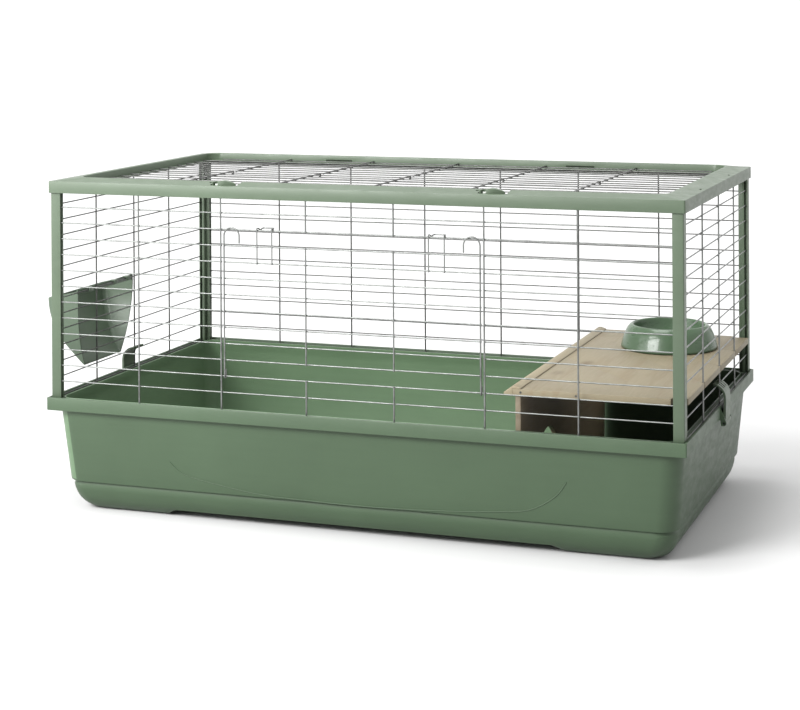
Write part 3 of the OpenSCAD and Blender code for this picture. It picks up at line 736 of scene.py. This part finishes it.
# ---------------------------------------------------------------- end clips
def clip(name, side):
    """Moulded end clip: hub, bowed strap that thins upwards, and four slotted fingers."""
    line = [(0, 0), (0.25, 6), (0.5, 12), (0.85, 19), (1.1, 26), (1.25, 31), (1.3, 36), (0.9, 40.5), (0.2, 44),
            (-1.2, 47.4), (-3.2, 50.2), (-5.4, 52.5), (-8, 54.6), (-10, 55.9), (-12, 56.8), (-14.5, 57.15),
            (-17.4, 57.2)]
    half = [2.4, 2.2, 2.0, 1.8, 1.7, 1.6, 1.5, 1.5, 1.5, 1.5, 1.5, 1.45, 1.4, 1.4, 1.35, 1.3, 1.25]
    path = [Vector((a, b)) for a, b in line]
    outer, inner = [], []
    for i, p in enumerate(path):
        d = (path[min(i + 1, len(path) - 1)] - path[max(i - 1, 0)]).normalized()
        n = Vector((d.y, -d.x))
        outer.append(p + n * half[i])
        inner.append(p - n * half[i])
    shape = Shape()

    def place(u, v, w):
        return side * (CLIP_PIN_X + u), w, CLIP_PIN_Z + v

    def strip(low, high, first, last):
        outline = [(q.x, q.y) for q in outer[first:last] + inner[first:last][::-1]]
        extrude(shape, outline, place, low, high)

    strip(-CLIP_Y, CLIP_Y, 0, 11)
    for low, high in ((-CLIP_Y, -12.1), (-8.9, -2.3), (2.3, 8.9), (12.1, CLIP_Y)):
        strip(low, high, 10, 17)
        extrude(shape, [(-17.4, 57.4), (-15.4, 57.4), (-15.6, 54.6), (-17.1, 54.6)], place, low, high)
    hub, bore = ([(r * math.cos(math.radians(a)), r * math.sin(math.radians(a))) for a in range(0, 360, 12)]
                 for r in (3.95, 2.05))
    n = len(hub)
    verts = [place(u, v, w) for w in (-CLIP_Y, CLIP_Y) for loop in (hub, bore) for u, v in loop]
    faces = []
    for k in range(n):
        m = (k + 1) % n
        faces += [[k, m, 2 * n + m, 2 * n + k], [n + k, 3 * n + k, 3 * n + m, n + m],
                  [k, n + k, n + m, m], [2 * n + k, 2 * n + m, 3 * n + m, 3 * n + k]]
    shape.add(verts, faces)
    shape.build(name + "_moulding", FRAME, name, "frame_plastic", [name])


# ---------------------------------------------------------------- hay rack
def rack():
    """Moulded hay rack: a bulging pocket open to the mesh, with a rim and three hooks."""
    x0 = -506.1
    wall = 2.4

    def outline(h, wall):
        s = max((150 - h) / 120, 0)
        out = 57 * (1 - (max(140 - h, 0) / 111) ** 2) + 1
        ya, yb = -193 + 22 * s ** 3, -1 - 45 * s ** 2
        r = min(9, out / 2.2) - wall * 0.4
        quarter = [math.radians(a) for a in range(0, 91, 15)]
        pts = [(x0, yb - wall)]
        pts += [(x0 - out + wall + r * (1 - math.cos(a)), yb - wall - r * (1 - math.sin(a)))
                for a in quarter[::-1]]
        pts += [(x0 - out + wall + r * (1 - math.cos(a)), ya + wall + r * (1 - math.sin(a))) for a in quarter]
        pts += [(x0, ya + wall)]
        return [(x, y, RIM + min(h, 153 - (x0 - x) * math.tan(math.radians(12.5)))) for x, y in pts]

    heights = [30, 33, 37, 42, 48, 55, 63, 72, 82, 93, 105, 117, 128, 138, 145, 150, 153]
    rings = []
    for h in heights:
        outer = outline(h, 0)
        inner = outline(h + wall * smooth(60, 30, h), wall)
        inner = [(x, y, outer[i][2]) for i, (x, y, z) in enumerate(inner)]
        rings.append(outer + inner[::-1])
    shape = Shape()
    skin(shape, rings)
    n = len(rings[0])
    half = n // 2
    for loop in (rings[0], rings[-1]):
        faces = [[k, k + 1, n - 2 - k, n - 1 - k] for k in range(half - 1)]
        shape.add(loop, faces)
    bottom = rings[0][:half]
    verts = bottom + [(x, y, RIM + 31.5) for x, y, z in bottom]
    faces = [list(range(half)), [half + k for k in range(half)][::-1]]
    faces += [[k, k + 1, half + k + 1, half + k] for k in range(half - 1)] + [[half - 1, 0, half, 2 * half - 1]]
    shape.add(verts, faces)

    def block(xa, xb, ya, yb, za, zb, r=0.6):
        loops = []
        for z, inset in ((za, r), (za + r, 0), (zb - r, 0), (zb, r)):
            plan = rounded_box(xa + inset, xb - inset, ya + inset, yb - inset, 0.6, 2)
            loops.append([(u, v, z) for u, v in plan])
        skin(shape, loops)
        shape.add(loops[0], [list(range(len(loops[0])))[::-1]])
        shape.add(loops[-1], [list(range(len(loops[0])))])

    block(x0 - 2, x0, -193, -1, RIM + 147, RIM + 156)
    for y in (-160, -75, -30):
        hook = RIM + 152.8 + 1.5
        block(x0 - 2, -498.5, y - 6, y + 6, hook, hook + 2.2)
        block(-500.4, -498.5, y - 6, y + 6, hook - 5, hook + 1)
    shape.build("hay_rack_shell", RACK, "hay_rack", "tray_plastic", ["hay_rack"], sharp=40)


# ---------------------------------------------------------------- bowl
def bowl():
    profile = [(0, 0), (74, 0), (76.8, 0.4), (77.8, 1.6), (78, 3.2), (77.4, 5.4), (76.6, 8), (75.2, 13), (73.6, 18),
               (72, 22.4), (70.4, 26.2), (69, 29.2), (67.2, 32), (65.4, 34.3), (63.6, 36.2), (62, 37.4), (60, 38),
               (58.7, 37.6), (57.8, 36.6), (57.3, 35), (56.8, 30), (55.4, 24), (53, 18), (49, 13.4), (44, 10.9),
               (38, 9.8), (30, 9.5), (15, 9.5), (0, 9.5)]
    turns = 120
    verts, faces = [], []
    for r, z in profile[1:-1]:
        for k in range(turns):
            a = 2 * math.pi * k / turns
            verts.append((BOWL_AT[0] + r * math.cos(a), BOWL_AT[1] + r * math.sin(a), BOWL_AT[2] + z))
    rows = len(profile) - 2
    for i in range(rows - 1):
        for k in range(turns):
            n = (k + 1) % turns
            faces.append([i * turns + k, i * turns + n, (i + 1) * turns + n, (i + 1) * turns + k])
    faces.append(list(range(turns))[::-1])
    faces.append([(rows - 1) * turns + k for k in range(turns)])
    shape = Shape()
    shape.add(verts, faces)
    shape.build("feeding_bowl", BOWL, "bowl", "bowl_plastic", ["bowl"], sharp=50)


def nails():
    """Two small dark nail heads in the front edge of the shelf board."""
    shape = Shape()
    for x in (262, 345):
        dot = [(x + 1.7 * math.cos(math.radians(a)), RIM + 52.5 + 1.7 * math.sin(math.radians(a)))
               for a in range(0, 360, 24)]
        extrude(shape, dot, lambda u, v, w: (u, w, v), -266.35, -265)
    shape.build("shelf_nails", WIRE_DARK_AND_SHADED, "shelf", "wire")


# ---------------------------------------------------------------- build
nails()
tray()
top_frame()
wire_panels()
roof()
front_door()
clip("tray_clip_left", -1)
clip("tray_clip_right", 1)
rack()
bowl()
for corner in ("front_left", "front_right", "back_left", "back_right"):
    from_cad("post_" + corner, FRAME, "cage", 0.5)
from_cad("roof_latch_left", FRAME, "roof_latch_left", 0.6)
from_cad("roof_latch_right", FRAME, "roof_latch_right", 0.6)
# Pale pins: painted highlight on each latch pin head.
from_cad("latch_pins", PALE_PIN_HIGHLIGHT, "cage", 0.4)
from_cad("clip_pins", WIRE_DARK_AND_SHADED, "cage", 0.3)
from_cad("shelf_board", BOARD_WOOD, "shelf", 0.8)
from_cad("shelf_edge_strip", STRIP_WOOD, "shelf", 1.0)
from_cad("shelf_side_panel", PANEL_WOOD, "shelf", 0.6)
from_cad("shelf_screws", WIRE_DARK_AND_SHADED, "shelf", 0.2)


# ---------------------------------------------------------------- floor, light and camera
def floor():
    """Pale floor, a little darker round the cage and nearly white far away."""
    mat, tree, shader = nodes_of("floor_white")
    place = coords(tree)
    reach = tree.nodes.new("ShaderNodeVectorMath")
    reach.operation = "LENGTH"
    tree.links.new(place, reach.inputs[0])
    pale = ramp(tree, calc(tree, "DIVIDE", reach.outputs["Value"], 8), [(0.1, 0.47), (0.28, 0.72), (0.6, 0.97)])
    grain = ramp(tree, noise(tree, place, 3, 3), [(0.3, 0.98), (0.7, 1.0)])
    tree.links.new(mix(tree, 1.0, pale, grain, "MULTIPLY"), shader.inputs["Base Color"])
    shader.inputs["Roughness"].default_value = 0.8
    shader.inputs["Specular IOR Level"].default_value = 0.1
    mesh = bpy.data.meshes.new("studio_floor")
    mesh.from_pydata([(-150, -150, 0), (150, -150, 0), (150, 250, 0), (-150, 250, 0)], [], [[0, 1, 2, 3]])
    mesh.materials.append(mat)
    obj = bpy.data.objects.new("studio_floor", mesh)
    bpy.context.scene.collection.objects.link(obj)


def area(name, at, target, size, power):
    data = bpy.data.lights.new(name, "AREA")
    data.shape = "RECTANGLE"
    data.size, data.size_y = size
    data.energy = power
    obj = bpy.data.objects.new(name, data)
    obj.location = at
    obj.rotation_mode = "QUATERNION"
    obj.rotation_quaternion = (Vector(target) - Vector(at)).to_track_quat("-Z", "Y")
    bpy.context.scene.collection.objects.link(obj)


def lights():
    """White room, dimmer behind the viewer and to the right, with three soft panels."""
    world = bpy.data.worlds.new("studio")
    world.use_nodes = True
    tree = world.node_tree
    where = tree.nodes.new("ShaderNodeTexCoord")
    split = tree.nodes.new("ShaderNodeSeparateXYZ")
    tree.links.new(where.outputs["Generated"], split.inputs[0])
    depth = map_range(tree, split.outputs["Y"], -0.9, 0.4, 0.95, 1.3)
    side = map_range(tree, split.outputs["X"], -1, 1, 1.04, 1.0)
    tree.links.new(calc(tree, "MULTIPLY", depth, side), tree.nodes["Background"].inputs["Strength"])
    tree.nodes["Background"].inputs["Color"].default_value = (1, 1, 1, 1)
    bpy.context.scene.world = world
    area("top_light", (-0.1, 0.0, 2.6), (0, 0, 0.3), (1.7, 1.2), 60)
    area("left_light", (-1.35, -1.05, 0.75), (-0.2, -0.1, 0.25), (1.1, 1.1), 16)
    area("front_light", (-1.2, -2.6, 1.9), (0, 0, 0.25), (1.6, 1.2), 185)


def camera():
    """Camera without pitch, from the fit to the photograph; its shift keeps the posts parallel."""
    data = bpy.data.cameras.new("camera")
    data.sensor_width = 36
    data.lens = 86.45
    data.shift_y = -0.447
    data.clip_end = 500
    obj = bpy.data.objects.new("camera", data)
    yaw, roll = math.radians(19.657), math.radians(-0.325)
    right, up = Vector((math.cos(yaw), math.sin(yaw), 0)), Vector((0, 0, 1))
    ahead = Vector((-math.sin(yaw), math.cos(yaw), 0))
    right, up = math.cos(roll) * right + math.sin(roll) * up, math.cos(roll) * up - math.sin(roll) * right
    turn = Matrix((right, up, -ahead)).transposed().to_4x4()
    obj.matrix_world = Matrix.Translation((1.0406 + CENTRE_X, -2.9572, RIM * MM + 0.6286)) @ turn
    bpy.context.scene.collection.objects.link(obj)
    bpy.context.scene.camera = obj


floor()
lights()
camera()
bpy.context.scene.view_settings.view_transform = "Standard"
